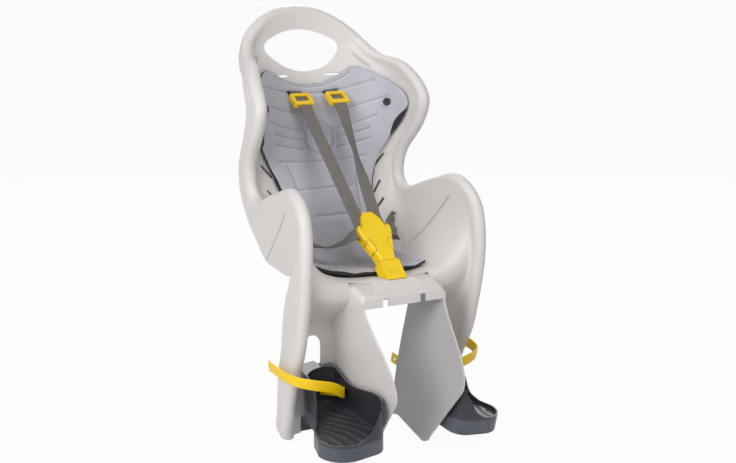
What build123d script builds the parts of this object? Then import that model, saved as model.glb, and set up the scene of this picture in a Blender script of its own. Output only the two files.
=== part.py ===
from build123d import *
import math
import os

import numpy as np

# Rear child seat for a bicycle. Millimetres, +Z up, the child faces -Y, +X is the child's left.
# The origin is the middle of the carrier block's underside, where the seat sits on its carrier.

# Shell wall and rolled rim
shell_wall = 3.6
rim_roll = 12.0
wall_draft = 6.0

# Handle hole in the head plate, an eye shape seen from the front
hole_half_width = 86.0
hole_top = 453.0
hole_ends = 424.0
hole_bottom = 377.0
hole_end_radius = 14.0

# Lap lip in front of the pan
lip_half_width = 84.0
lip_front = -97.0
lip_top = 38.5
lip_side_top = 33.5
lip_corner = 9.0
lip_front_top = 18.0
lip_bottom = -2.0
pan_end = -46.0

# Wheel gap between the shields, in front of the pan and below it
gap_front = -260.0
gap_back = 150.0
gap_top = 70.0
gap_under_pan = 22.0
gap_bottom = -300.0

# Wheel shields, which lean in towards the wheel, and the openings beside their rear columns
shield_lean = 5.7
shield_wall = 3.6
column_width = 28.0
leg_opening_width = 45.0
leg_opening_top = -58.0

# Carrier block under the pan, with two rod sockets
rod_diameter = 10.0
rod_clearance = 0.4
rod_half_spacing = 39.0
rod_height = 6.5
socket_wall = 5.0
carrier_front = -58.0
carrier_back = 62.0
carrier_rib = 4.0
carrier_bend = 10.0
pan_height = 33.0

# Rear columns of the wheel shields, straight from their top down, on which the footrests slide
column_top = -44.0
column_front = 8.0
column_slope = 0.14

# Seat pad, laid in the shell
pad_thickness = 11.0
pad_gap = 0.9
pad_dip_radius = 139.0
pad_dip_bottom = 356.0
pad_top = 387.0
pad_front = -31.0

# Webbing of the harness and the slots it passes through
webbing_width = 25.0
webbing_thickness = 1.8
slot_width = 33.0
slot_height = 9.0
shoulder_x = 40.0
shoulder_z = 337.0
lap_x = 124.0
lap_z = 100.0
keeper_thickness = 3.0
keeper_overlap = 8.0
keeper_play = 1.2
strap_lift = 3.0
shoulder_stand = 1.2
lap_stand = 3.2
seat_gap = 0.3

# Slits beside the pad and under the handle: their ends, by distance from the middle and height
vent_width = 5.0
vents = [((107, 192), (135, 222)), ((103, 150), (122, 172)), ((96, 116), (121, 140))]
vents += [((40, 371), (66, 371))]

# Snap studs that hold the pad's wings
snap_x = 138.0
snap_z = 318.0
snap_head = 14.0
snap_head_height = 3.5
snap_post = 6.0
snap_foot = 11.0
snap_foot_height = 2.0
snap_play = 0.3
snap_stand = 1.0

# Strap adjusters: flat slider frames
adjuster_width = 41.0
adjuster_length = 30.0
adjuster_bar = 2.6
adjuster_window = 14.0
adjuster_play = 0.6
adjuster_slope = 36.0
adjuster_start = 7.0

# Harness buckle: it leans back over the pad from the lip
buckle_y = -53.0
buckle_z = 46.0
buckle_pitch = 47.0
buckle_thickness = 22.0
buckle_wall = 3.0
buckle_stand = 0.7
block_half_width = 19.5
block_height = 20.0
block_extra = 1.0
neck_half_width = 16.0
shoulder_half_width = 34.0
buckle_shoulder = 88.0
buckle_apex = 122.0
apex_half_width = 9.0
tongue_bottom = 70.0
tongue_top = 97.0
tongue_middle = 19.0
tongue_width = 24.0
tongue_thickness = 4.0
tongue_clearance = 0.4

# Release buttons in the buckle's sides
button_place = 50.0
button_length = 22.0
button_height = 11.0
button_proud = 3.0
button_flange = 2.4
button_flange_margin = 1.6
button_clearance = 0.4

# Crotch link between the buckle and the lip, with its bar below
link_width = 28.0
link_thickness = 3.0
link_y = -56.0
link_reach = 9.0
bar_width = 40.0
bar_depth = 12.0
bar_thickness = 4.0
bar_drop = 2.2
link_foot = 2.5

# Footrests: shoes that slide along the columns
foot_height = -186.0
foot_wall = 3.0
foot_inner = 10.0
foot_outer = 120.0
foot_front = -188.0
foot_heel = 20.0
foot_heel_outer = 69.0
foot_apron = 24.0
foot_top = 69.0
foot_toe = 26.0
foot_lip = 6.0
heel_cup = 40.0
foot_clearance = 0.6
column_bow = 1.0
column_flare = 1.6

# Foot straps, across the footrests
foot_strap_width = 19.0
foot_strap_thickness = 2.4
foot_strap_clearance = 0.3

# Ties across the bottom of the legs
tie_thickness = 3.0
tie_top = -221.0
tie_bottom = -248.0


def column_at(z):
    """Front of the column at a height, as y and z."""
    return (column_front + (column_top - z) * column_slope, z)


# Rim stations from the handle's top, round wing, arm and leg strip to the tail.
# Each gives the crown of the rolled rim (x, y, z), the middle of the seat beside it (y, z), the depth
# of the outer skirt, how full the inner corner is, how far the rim and the skirt point up from straight
# ahead in degrees, and how much the section turns with the handle's arch.
stations = [
    ((-8, 278, 498), (266, 448), 14, 0.60, 80, 80, 1),
    ((50, 272, 490), (262, 441), 14, 0.60, 80, 80, 1),
    ((92, 256, 468), (257, 431), 14, 0.60, 75, 75, 0.95),
    ((118, 236, 441), (251, 419), 14, 0.60, 70, 70, 0.8),
    ((130, 212, 420), (245, 406), 15, 0.60, 62, 62, 0.5),
    ((139, 190, 408), (238, 392), 16, 0.60, 50, 50, 0.2),
    ((155, 147, 397), (229, 364), 19, 0.62, 35, 35, 0),
    ((168, 108, 366), (218, 335), 24, 0.66, 20, 20, 0),
    ((172, 85, 327), (206, 298), 30, 0.68, 10, 10, 0),
    ((170, 104, 278), (196, 262), 26, 0.68, 5, 5, 0),
    ((162, 141, 229), (184, 220), 22, 0.68, 6, 6, 0),
    ((158, 149, 190), (173, 183), 22, 0.70, 15, 15, 0),
    ((157, 137, 170), (159, 140), 30, 0.72, 45, 55, 0),
    ((159, 112, 166), (146, 98), 60, 0.76, 65, 85, 0),
    ((163, 77, 179), (131, 62), 104, 0.82, 68, 91, 0),
    ((166, 33, 193), (101, 35), 126, 0.86, 70, 91, 0),
    ((170, -8, 202), (58, 31), 138, 0.88, 66, 88, 0),
    ((174, -47, 185), (10, 33), 122, 0.88, 48, 82, 0),
    ((178, -72, 151), (-40, 36), 90, 0.88, 26, 74, 0),
    ((180, -80, 107), (-58, 24), 54, 0.88, 8, 58, 0),
    ((181, -79, 60), (-52, 0), 36, 0.90, 0, 20, 0),
    ((180, -73, 15), (-25, -18), 42, 0.92, -4, -4, 0),
    ((179, -62, -35), column_at(-44), 44, 0.94, -8, -8, 0),
    ((178, -48, -83), column_at(-82), 38, 0.96, -10, -10, 0),
    ((175, -20, -140), column_at(-136), 28, 0.96, -13, -13, 0),
    ((170, 2, -207), column_at(-202), 20, 0.96, -13, -13, 0),
    ((166, 22, -250), column_at(-245), 14, 0.96, -12, -12, 0),
]
shell_rows = 2 * len(stations) - 1


def smooth(values, share):
    """Cubic curve through evenly numbered station values, read at a share of the way along."""
    values = np.array(values, float)
    slopes = np.gradient(values, axis=0)
    place = share * (len(values) - 1)
    k = min(int(place), len(values) - 2)
    f = place - k
    rest = values[k] * (1 + 2 * f) * (1 - f) ** 2 + values[k + 1] * f * f * (3 - 2 * f)
    return rest + slopes[k] * f * (1 - f) ** 2 + slopes[k + 1] * f * f * (f - 1)


def unit(vector):
    """Vector of length one."""
    return vector / np.linalg.norm(vector)


def bezier(controls, t):
    """Point on the Bezier curve of some control points."""
    last = len(controls) - 1
    return sum(math.comb(last, k) * (1 - t) ** (last - k) * t**k * c for k, c in enumerate(controls))


def wall_curve(share):
    """Curve across the shell from its middle to the rim: its controls and the rim's directions."""
    step = 0.002
    ahead = min(share + step, 1)
    behind = max(share - step, 0)
    crowns, spines, skirts, fills, tilts, skirt_tilts, arches = zip(*stations)
    crown = smooth(crowns, share)
    spine = np.array([-8.0, *smooth(spines, share)])
    arch = smooth(arches, share)
    tilt = math.radians(smooth(tilts, share))
    sideways = np.array([1.0, 0.0, 0.0])
    travel = unit(smooth(crowns, ahead) - smooth(crowns, behind)) if share > 0 else sideways
    spine_travel = unit(np.array([0.0, *(smooth(spines, ahead) - smooth(spines, behind))]))
    corner = np.array([max(crown[0] - rim_roll - wall_draft, -8.0), spine[1], spine[2]])
    free = arch if share < 1 else 1.0
    out = np.zeros(3)
    for _ in range(3):
        straight = unit(crown - out * rim_roll - corner)
        up = unit(straight * free + np.array([0.0, -math.cos(tilt), math.sin(tilt)]) * (1 - free))
        along = unit(np.cross(sideways, up) * (1 - arch) + travel * arch)
        out = unit(np.cross(up, along))
    wall_end = crown - (up + out) * rim_roll
    fill = smooth(fills, share)
    wall_length = np.linalg.norm(wall_end - corner)
    controls = [spine, spine + (corner - spine) * fill, wall_end + (corner - wall_end) * fill]
    controls += [wall_end - up * wall_length * 0.25, wall_end]
    at_spine = unit(spine_travel * (1 - arch) + travel * arch) if share < 1 else along
    drop = math.radians(smooth(skirt_tilts, share))
    fall = unit(up * free + np.array([0.0, -math.cos(drop), math.sin(drop)]) * (1 - free))
    return controls, at_spine, along, up, out, fall * smooth(skirts, share)


def inward_of(points, spread, at_spine, along):
    """Directions through the wall, away from the child, for points across the shell."""
    spread = np.clip(spread, 0, 1)[:, None]
    inward = np.cross(np.gradient(points, axis=0), at_spine * (1 - spread) + along * spread)
    return inward / np.linalg.norm(inward, axis=1, keepdims=True)


def rim_section(share):
    """Visible skin across the shell, from the middle out over the rim and down the skirt, and its back."""
    controls, at_spine, along, up, out, skirt = wall_curve(share)
    points = [bezier(controls, t) for t in np.linspace(0, 1, 13)]
    wall_end = points[-1]
    for angle in range(30, 181, 30):
        turn = math.radians(angle)
        points.append(wall_end + out * rim_roll * (1 - math.cos(turn)) + up * rim_roll * math.sin(turn))
    for part in (0.33, 0.67, 1.0):
        points.append(wall_end + out * 2 * rim_roll - skirt * part)
    points = np.array(points)
    return points, inward_of(points, np.arange(len(points)) / 12, at_spine, along)


def place_across(controls, x):
    """Parameter at which the curve across the shell reaches a distance from the middle."""
    near, far = 0.0, 0.95
    for _ in range(30):
        middle = (near + far) / 2
        near, far = (middle, far) if bezier(controls, middle)[0] < x else (near, middle)
    return near


def wall_section(share, reach):
    """Skin across the shell from its middle to a share of the way to the rim, and its directions."""
    controls, at_spine, along = wall_curve(share)[:3]
    spread = np.linspace(place_across(controls, 0), reach, 8)
    points = np.array([bezier(controls, t) for t in spread])
    return points, inward_of(points, spread, at_spine, along)


def skin_at(x, z):
    """Point of the backrest's skin at a place and height, and the direction through the wall there."""
    low, high = 5.0, 14.0
    for _ in range(30):
        station = (low + high) / 2
        share = station / (len(stations) - 1)
        controls = wall_curve(share)[0]
        place = place_across(controls, x)
        low, high = (station, high) if bezier(controls, place)[2] > z else (low, station)
    points, inward = wall_section(share, place)
    return points[-1], inward[-1]


def sheet_loft(fronts, backs):
    """Solid lofted through closed sections, each a front line and a back line of points."""
    steps = np.linalg.norm(np.diff(np.array(fronts), axis=1), axis=2).mean(axis=0)
    places = [0.0, *np.cumsum(steps / steps.sum()).tolist()]
    wires = []
    for front, back in zip(fronts, backs):
        front = [Vector(*p) for p in front.tolist()]
        back = [Vector(*p) for p in back.tolist()]
        edges = [Edge.make_spline(front, parameters=places), Edge.make_line(front[-1], back[-1])]
        edges += [Edge.make_spline(back, parameters=places), Edge.make_line(back[0], front[0])]
        wires.append(Wire(edges))
    return Solid.make_loft(wires)


def ribbon(path, across, width, thickness):
    """Flat strap through points, with the direction of its width at each."""
    path = np.array(path, float)
    wires = []
    for point, ahead, side in zip(path, np.gradient(path, axis=0), across):
        ahead = unit(ahead)
        side = np.array(side, float)
        side = unit(side - ahead * np.dot(side, ahead)) * width / 2
        through = unit(np.cross(ahead, side)) * thickness / 2
        corners = [point + side + through, point - side + through]
        corners += [point - side - through, point + side - through]
        wires.append(Wire.make_polygon([Vector(*c.tolist()) for c in corners]))
    return Solid.make_loft(wires)


def both_sides(node, piece):
    """Write a piece of the child's left side and its mirror image on the right."""
    export_step(piece, f"parts/{node}_left.step")
    export_step(mirror(piece, Plane.YZ), f"parts/{node}_right.step")


os.makedirs("parts", exist_ok=True)

# Moulded skin of one half of the shell
sections = [rim_section(s) for s in np.linspace(0, 1, shell_rows)]
shell_skin = np.array([s[0] for s in sections])
shell_inward = np.array([s[1] for s in sections])
half = sheet_loft(shell_skin, shell_skin + shell_inward * shell_wall)
half = half & Pos(200, 0, 0) * Box(400, 1200, 1200)

# Planes of the leaning shield: its own, and one square to it that faces the child
lean = math.tan(math.radians(shield_lean))
shield_plane = Plane(origin=(lip_half_width, 0, 0), x_dir=(0, 1, 0), z_dir=(1, 0, -lean))
opening_plane = Plane(origin=(lip_half_width, 0, 0), x_dir=(1, 0, -lean), z_dir=(0, -1, 0))

# Wheel gap: what the skin spans between the shields and in front of the pan comes away
gap_outline = [(pan_end, gap_top), (pan_end, gap_under_pan), (gap_back, gap_under_pan)]
gap_outline += [(gap_back, gap_bottom), (gap_front, gap_bottom), (gap_front, gap_top)]
gap_face = make_face(Polyline(*gap_outline, close=True))
half = half - extrude(shield_plane * gap_face, -2 * lip_half_width)

# Opening between the rear column and the leg strip, round at its top
opening = SlotCenterPoint((0, -150), (0, 0), leg_opening_width)
opening_place = Pos(column_width + leg_opening_width / 2, leg_opening_top - leg_opening_width / 2)
half = half - extrude(opening_plane * opening_place * opening, 120, both=True)

# Wheel shield: a kite-shaped plate
shield_nose = Spline((lip_front + 3, 4), (-139, -66), (-168, -110), (-176, -137), (-164, -164))
shield_edge = Polyline((-164, -164), (-92, -253))
shield_tip = ThreePointArc((-92, -253), (-80, -265), (-64, -264))
shield_foot = Polyline((-64, -264), (10, -240), (34, -243), (30, -215))
shield_rear = Spline((30, -215), (22, -110), (8, -30), (-4, 34))
shield_head = Polyline((-4, 34), (pan_end, 37), (lip_front + 3, 4))
shield_face = make_face([shield_nose, shield_edge, shield_tip, shield_foot, shield_rear, shield_head])
shield = extrude(shield_plane * shield_face, shield_wall / 2, both=True)

# Lap lip: a hood over the shields' front, round at its sides, open below, with a raised seat for the buckle
lip_side = lip_half_width + shield_wall / 2 + 1
lip_back = pan_end + 8


def lip_hood(inset, corner):
    """Solid under the lip's skin, drawn in by some distance, with its side corners rounded."""
    outline = [(lip_back + inset / 4, lip_side_top - inset), (-62, lip_side_top - 2 - inset)]
    outline += [(lip_front + 8 + inset / 2, lip_front_top + 3 - inset)]
    outline += [(lip_front + inset, lip_front_top - 4 - inset / 2)]
    outline += [(lip_front + inset, lip_bottom - inset / 4), (lip_back + inset / 4, lip_bottom - inset / 4)]
    hood = extrude(Plane.YZ * make_face(Polyline(*outline, close=True)), lip_side - inset)
    ends = hood.edges().filter_by_position(Axis.X, lip_side - inset - 0.1, lip_side - inset + 0.1)
    rounded = [e for e in ends if e.center().Z > lip_front_top - 6 and e.center().Y < lip_back - 2]
    return fillet(rounded, corner)


seat_foot = [(0, lip_back - 4), (58, lip_back - 4), (58, lip_front + 6), (0, lip_front + 6)]
seat_head = [(0, lip_back - 7), (34, lip_back - 7), (34, -72), (0, -72)]
lip_seat = Solid.make_loft(
    [
        Wire.make_polygon([Vector(x, y, lip_front_top + 2) for x, y in seat_foot]),
        Wire.make_polygon([Vector(x, y, lip_top) for x, y in seat_head]),
    ],
    True,
)
recess = Pos(0, -82, 29.5) * Rot(43, 0, 0) * Box(30, 11, 3)
lip = lip_hood(0, lip_corner) + lip_seat - lip_hood(shell_wall, lip_corner - shell_wall) - recess

# Carrier block: two rod sockets, a sole plate and ribs that stand up into the pan
carrier_length = carrier_back - carrier_front
carrier_middle = (carrier_back + carrier_front) / 2
socket_radius = rod_diameter / 2 + socket_wall
socket_place = Pos(rod_half_spacing, carrier_middle, rod_height) * Rot(90, 0, 0)
socket = socket_place * Cylinder(socket_radius, carrier_length)
sole = Pos(rod_half_spacing / 2, carrier_middle, carrier_rib / 2)
sole = sole * Box(rod_half_spacing, carrier_length, carrier_rib)
bend_top = pan_height - 1.5
back_top = pan_height - 4
web_outline = [(carrier_front, rod_height), (carrier_back, rod_height), (carrier_back, back_top)]
web_outline += [(carrier_bend, bend_top), (pan_end + 2, pan_height + 1.5), (carrier_front, pan_height - 5)]
web_face = make_face(Polyline(*web_outline, close=True))
ribs = extrude(Plane.YZ.offset(rod_half_spacing) * web_face, carrier_rib / 2, both=True)
cross_ribs = [(pan_end + 4, pan_height + 1), (carrier_bend, bend_top)]
cross_ribs += [(carrier_back - carrier_rib, back_top)]
for rib_y, rib_top in cross_ribs:
    rib = Box(rod_half_spacing, carrier_rib, rib_top)
    ribs = ribs + Pos(rod_half_spacing / 2, rib_y, rib_top / 2) * rib
carrier = socket + sole + ribs
carrier = carrier - Pos(0, 0, -50) * Box(400, 400, 100)
bore = socket_place * Cylinder((rod_diameter + rod_clearance) / 2, 2 * carrier_length)

# Notch in the lip in front of each rod
notch_width = rod_diameter + rod_clearance + 2
notch_top = rod_height + rod_diameter / 2 + 1
notch_height = notch_top - lip_bottom + 5
notch = Pos(rod_half_spacing, lip_front, notch_top - notch_height / 2) * Box(notch_width, 30, notch_height)

half = half + shield + lip + carrier - bore - notch

# Handle hole
upper = ThreePointArc((-hole_half_width, hole_ends), (0, hole_top), (hole_half_width, hole_ends))
lower = ThreePointArc((hole_half_width, hole_ends), (0, hole_bottom), (-hole_half_width, hole_ends))
eye = fillet(make_face([upper, lower]).vertices(), hole_end_radius)
half = half - extrude(Plane.XZ * eye, -400)

# Slots for the harness, and the holes of the snaps
shoulder_point, shoulder_inward = skin_at(shoulder_x, shoulder_z)
lap_point, lap_inward = skin_at(lap_x, lap_z)
snap_point, snap_inward = skin_at(snap_x, snap_z)


def plane_at(point, inward, flat):
    """Plane on the shell's skin, its normal pointing through the wall to the back."""
    return Plane(origin=Vector(*point.tolist()), x_dir=flat, z_dir=Vector(*inward.tolist()))


shoulder_plane = plane_at(shoulder_point, shoulder_inward, (1, 0, 0))
lap_plane = plane_at(lap_point, lap_inward, Vector(0, 0, 1).cross(Vector(*lap_inward.tolist())))
snap_plane = plane_at(snap_point, snap_inward, (0, 0, 1))
shoulder_slot = Box(slot_width, slot_height, 60)
lap_slot = Box(slot_height, slot_width, 60)
snap_hole = Cylinder(snap_post / 2 + snap_play, 60)
half = half - shoulder_plane * shoulder_slot - lap_plane * lap_slot - snap_plane * snap_hole


def vent(start, end, width):
    """Slot through the shell between two places on its skin, each by its x and height."""
    place, inward = skin_at((start[0] + end[0]) / 2, (start[1] + end[1]) / 2)
    run = skin_at(*end)[0] - skin_at(*start)[0]
    plane = plane_at(place, inward, Vector(*(run - inward * np.dot(run, inward)).tolist()))
    return plane * Box(np.linalg.norm(run).item(), width, 30)


for vent_start, vent_end in vents:
    half = half - vent(vent_start, vent_end, vent_width)
crotch_slot = Pos(0, link_y, lip_top) * Box(link_width + 4, link_thickness + 4, 30)
half = half - crotch_slot

seat_shell = half + mirror(half, Plane.YZ)
export_step(seat_shell, "parts/seat_shell.step")

# Seat pad: how far it reaches towards the rim at some of the stations
pad_reach = [(5.0, 0.30), (5.5, 0.44), (6.0, 0.55), (7.0, 0.72), (7.5, 0.81), (8.0, 0.82), (8.5, 0.79)]
pad_reach += [(9.0, 0.70), (9.5, 0.60), (10.0, 0.50), (10.5, 0.44), (11.5, 0.37), (12.5, 0.335)]
pad_reach += [(14.0, 0.325), (16.0, 0.275), (17.8, 0.24)]
pad_stations = np.arange(4.5, 18.6, 0.5).tolist()
pad_rows = [(s, np.interp(s, *zip(*pad_reach))) for s in pad_stations]
pad_fronts = []
pad_backs = []
mirrored = np.array([-1.0, 1.0, 1.0])
for row, (station, reach) in enumerate(pad_rows):
    share = station / (len(stations) - 1)
    points, inward = wall_section(share, reach)
    inward[0] = unit(inward[0] * (0, 1, 1))
    points = np.concatenate([points[:0:-1] * mirrored, points])
    inward = np.concatenate([inward[:0:-1] * mirrored, inward])
    front = points - inward * (pad_gap + pad_thickness)
    back = points - inward * pad_gap
    if row in (0, len(pad_rows) - 1):
        level = wall_curve(share)[1]
        middle = points[len(points) // 2]
        front = front - np.outer((front - middle) @ level, level)
        back = back - np.outer((back - middle) @ level, level)
    pad_fronts.append(front)
    pad_backs.append(back)
pad = sheet_loft(np.array(pad_fronts), np.array(pad_backs))
pad = pad - Pos(0, 0, pad_dip_bottom + pad_dip_radius) * Rot(90, 0, 0) * Cylinder(pad_dip_radius, 800)
pad = pad - Pos(0, 0, pad_top + 100) * Box(600, 800, 200) - Pos(0, pad_front - 100, 0) * Box(600, 200, 400)
pad_cuts = shoulder_plane * shoulder_slot + snap_plane * snap_hole
pad = pad - pad_cuts - mirror(pad_cuts, Plane.YZ)
export_step(pad, "parts/seat_pad.step")

# Snap studs: a dished head on the pad, a post through pad and shell, and a foot behind
head_face = -(pad_gap + pad_thickness + snap_stand)
foot_face = shell_wall + snap_stand
snap = Pos(0, 0, head_face - snap_head_height / 2) * Cylinder(snap_head / 2, snap_head_height)
snap = chamfer(snap.edges().group_by(Axis.Z)[0], 1)
snap = snap - Pos(0, 0, head_face - snap_head_height) * Cylinder(snap_head / 5, 2)
snap = snap + Pos(0, 0, (head_face + foot_face) / 2) * Cylinder(snap_post / 2, foot_face - head_face)
snap = snap + Pos(0, 0, foot_face + snap_foot_height / 2) * Cylinder(snap_foot / 2, snap_foot_height)
both_sides("pad_snap", snap_plane * snap)

# Keepers: slotted plates behind the shell that hold the ends of the webbing
def keeper(upright, stand):
    """Keeper plate in the frame of its slot, its length across or up the slot."""
    size = (slot_width + 2 * keeper_overlap, slot_height + 2 * keeper_overlap)
    gap = (webbing_width + 4 * keeper_play, webbing_thickness + 2 * keeper_play)
    if upright:
        size = size[::-1]
        gap = gap[::-1]
    plate = Box(*size, keeper_thickness) - Box(*gap, 20)
    return Pos(0, 0, shell_wall + stand + keeper_thickness / 2) * plate


both_sides("shoulder_keeper", shoulder_plane * keeper(False, shoulder_stand))
both_sides("lap_keeper", lap_plane * keeper(True, lap_stand))

# Buckle frame: x across, y up along the buckle, z out of its face
buckle_lean = math.radians(buckle_pitch)
buckle_up = Vector(0, math.cos(buckle_lean), math.sin(buckle_lean))
buckle_out = Vector(1, 0, 0).cross(buckle_up)
buckle_plane = Plane(origin=(0, buckle_y, buckle_z), x_dir=(1, 0, 0), z_dir=buckle_out)

# Outline of the buckle: a block on the lip, a neck, sides that spread to the shoulders, and an apex
neck_top = block_height + 12
side_foot = (neck_half_width + 1, neck_top)
side_head = (shoulder_half_width - 1, buckle_shoulder - 8)
buckle_side = [(block_half_width, -block_height), (block_half_width, block_height)]
buckle_side += [(neck_half_width, block_height + 2), side_foot, side_head]
buckle_side += [(shoulder_half_width, buckle_shoulder), (shoulder_half_width - 4, buckle_shoulder + 8)]
buckle_side += [(apex_half_width, buckle_apex)]
buckle_outline = buckle_side + [(-x, y) for x, y in reversed(buckle_side)]
buckle_face = make_face(Polyline(*buckle_outline, close=True))
block_face = Rectangle(2 * block_half_width, 2 * block_height)

# Room inside for the tongues and the buttons' flanges
cavity_half = buckle_thickness / 2 - buckle_wall
cavity_face = offset(buckle_face, -buckle_wall) & Pos(0, 50) * Rectangle(100, 2 * (tongue_bottom - 4 - 50))
cavity = extrude(cavity_face, cavity_half, both=True)
channel_low = tongue_bottom - 2
channel_inner = tongue_middle - tongue_width / 2 - 1.5
channel = Box(60, 100, tongue_thickness + 2 * tongue_clearance)
channel = Pos(channel_inner + 30, channel_low + 50, 0) * channel
channels = channel + mirror(channel, Plane.YZ)

# Button frame: on the middle of the buckle's left side, z pointing out
side_length = math.dist(side_foot, side_head)
side_along = ((side_head[0] - side_foot[0]) / side_length, (side_head[1] - side_foot[1]) / side_length)
button_x = side_foot[0] + (button_place - side_foot[1]) * side_along[0] / side_along[1]
button_plane = Plane(
    origin=(button_x, button_place, 0), x_dir=(*side_along, 0), z_dir=(side_along[1], -side_along[0], 0)
)
button_window = RectangleRounded(
    button_length + 2 * button_clearance, button_height + 2 * button_clearance, button_height / 2
)
window = button_plane * extrude(button_window, 2 * buckle_wall, both=True)
windows = window + mirror(window, Plane.YZ)

# Two halves of the buckle, cut level above the lip, with a pocket for the link
lip_rest = lip_top + buckle_stand
below_lip = Pos(0, 0, lip_rest - 100) * Box(400, 400, 200)
link_room = (link_width + 2 * seat_gap, link_thickness + 2 * seat_gap)
pocket = Pos(0, link_y, lip_rest) * Box(*link_room, 2 * link_reach)
strap_notch = extrude(make_face(Polyline((12.5, 128), (36, 104), (24, 88), close=True)), buckle_thickness)
strap_notches = Pos(0, 0, webbing_thickness) * (strap_notch + mirror(strap_notch, Plane.YZ))
for name, turn in (("front", 1), ("back", -1)):
    casing = extrude(buckle_face, turn * buckle_thickness / 2)
    outer_face = casing.faces().sort_by(Axis.Z)[-1 if turn > 0 else 0]
    casing = chamfer(outer_face.edges(), 2)
    casing = casing + extrude(block_face, turn * (buckle_thickness / 2 + block_extra))
    casing = casing - cavity - channels - windows - strap_notches
    casing = buckle_plane * casing - below_lip - pocket
    export_step(casing, f"parts/buckle_{name}.step")

# Release buttons: a pad through the side wall and a flange behind it
button_body = RectangleRounded(button_length, button_height, button_height / 2 - 0.4)
flange_size = (button_length + 2 * button_flange_margin, button_height + 2 * button_flange_margin)
flange_face = -(buckle_wall + seat_gap)
button = Pos(0, 0, flange_face) * extrude(button_body, button_proud - flange_face)
button = chamfer(button.edges().group_by(Axis.Z)[-1], 0.8)
button = button + Pos(0, 0, flange_face - button_flange / 2) * Box(*flange_size, button_flange)
both_sides("buckle_button", buckle_plane * button_plane * button)

# Tongues that the webbing is sewn to
tongue_length = tongue_top - tongue_bottom
tongue = Box(tongue_width, tongue_length, tongue_thickness)
tongue = fillet(tongue.edges().filter_by(Axis.Z), 3)
tongue = tongue - Pos(0, -tongue_length / 6) * Box(tongue_width / 2, tongue_length / 4, 20)
both_sides("buckle_tongue", buckle_plane * Pos(tongue_middle, (tongue_top + tongue_bottom) / 2, 0) * tongue)

# Crotch link: it hangs the buckle on the bar under the lip
lip_under = lip_side_top - bar_drop - shell_wall
bar_top = lip_under - seat_gap
bar = Pos(0, link_y, bar_top - bar_thickness / 2) * Box(bar_width, bar_depth, bar_thickness)
bar = bar - Pos(0, link_y, bar_top) * Box(*link_room, 20)
export_step(bar, "parts/crotch_bar.step")
link_top = lip_rest + link_reach - seat_gap
link_bottom = bar_top - bar_thickness - seat_gap
link = Box(link_width, link_thickness, link_top - link_bottom)
link = Pos(0, link_y, (link_top + link_bottom) / 2) * link
link = link + Pos(0, link_y, link_bottom - link_foot / 2) * Box(link_width, bar_depth, link_foot)
export_step(link, "parts/crotch_link.step")


def buckle_point(x, y, z):
    """Point of the buckle's frame in the seat's frame."""
    return np.array([*(buckle_plane * Pos(x, y, z)).position])


# Shoulder straps, through shell, pad and adjuster to the buckle; the left one is twisted
keeper_depth = shell_wall + shoulder_stand + keeper_thickness
adjuster_fall = math.radians(adjuster_slope)
adjuster_down = np.array([0.0, -math.cos(adjuster_fall), -math.sin(adjuster_fall)])
pad_exit = shoulder_point - shoulder_inward * (pad_gap + pad_thickness + strap_lift)
adjuster_top = pad_exit + adjuster_down * adjuster_start
adjuster_bottom = adjuster_top + adjuster_down * adjuster_length
buckle_entry = [
    buckle_point(tongue_middle + 1.5, buckle_apex + 13, 2),
    buckle_point(tongue_middle, buckle_apex - 1, 0),
    buckle_point(tongue_middle, tongue_top + seat_gap, 0),
]
shoulder_path = []
for depth in (keeper_depth + 4, shell_wall, -(pad_gap + pad_thickness)):
    shoulder_path.append(shoulder_point + shoulder_inward * depth)
for part in (-0.1, 0.2, 0.5, 0.8, 1.1):
    shoulder_path.append(adjuster_top + adjuster_down * adjuster_length * part)
for part in (0.25, 0.5, 0.75):
    shoulder_path.append(adjuster_bottom * (1 - part) + buckle_entry[0] * part)
shoulder_path += buckle_entry


def shoulder_strap(twists):
    """Shoulder strap with its width turned by some degrees at each of the free stretch's points."""
    across = []
    for degrees in (0, 0, 0, 0, 0, 0, 0, 0, *twists, 0, 0, 0):
        turn = math.radians(degrees)
        across.append((math.cos(turn), math.sin(turn) * 0.8, -math.sin(turn) * 0.6))
    return ribbon(shoulder_path, across, webbing_width, webbing_thickness)


export_step(shoulder_strap((20, 40, 8)), "parts/shoulder_strap_left.step")
export_step(mirror(shoulder_strap((0, 0, 0)), Plane.YZ), "parts/shoulder_strap_right.step")

# Strap adjusters: a frame in front of the webbing, a bar behind it
adjuster_half = webbing_thickness / 2 + adjuster_play + adjuster_bar
adjuster = fillet(Box(adjuster_width, adjuster_length, 2 * adjuster_half).edges().filter_by(Axis.Z), 4)
strap_room = (webbing_width + 4 * adjuster_play, webbing_thickness + 2 * adjuster_play)
adjuster = adjuster - Box(strap_room[0], 2 * adjuster_length, strap_room[1])
adjuster = adjuster - Pos(0, 1, 10) * Box(webbing_width + 2, adjuster_window, 20)
back_window = Box(webbing_width, adjuster_length / 4, 20)
for end in (-1, 1):
    adjuster = adjuster - Pos(0, end * adjuster_length / 4, -10) * back_window
adjuster_middle = (adjuster_top + adjuster_bottom) / 2
adjuster_out = Vector(1, 0, 0).cross(Vector(*(-adjuster_down)))
adjuster_plane = Plane(origin=Vector(*adjuster_middle.tolist()), x_dir=(1, 0, 0), z_dir=adjuster_out)
both_sides("strap_adjuster", adjuster_plane * adjuster)

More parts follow.
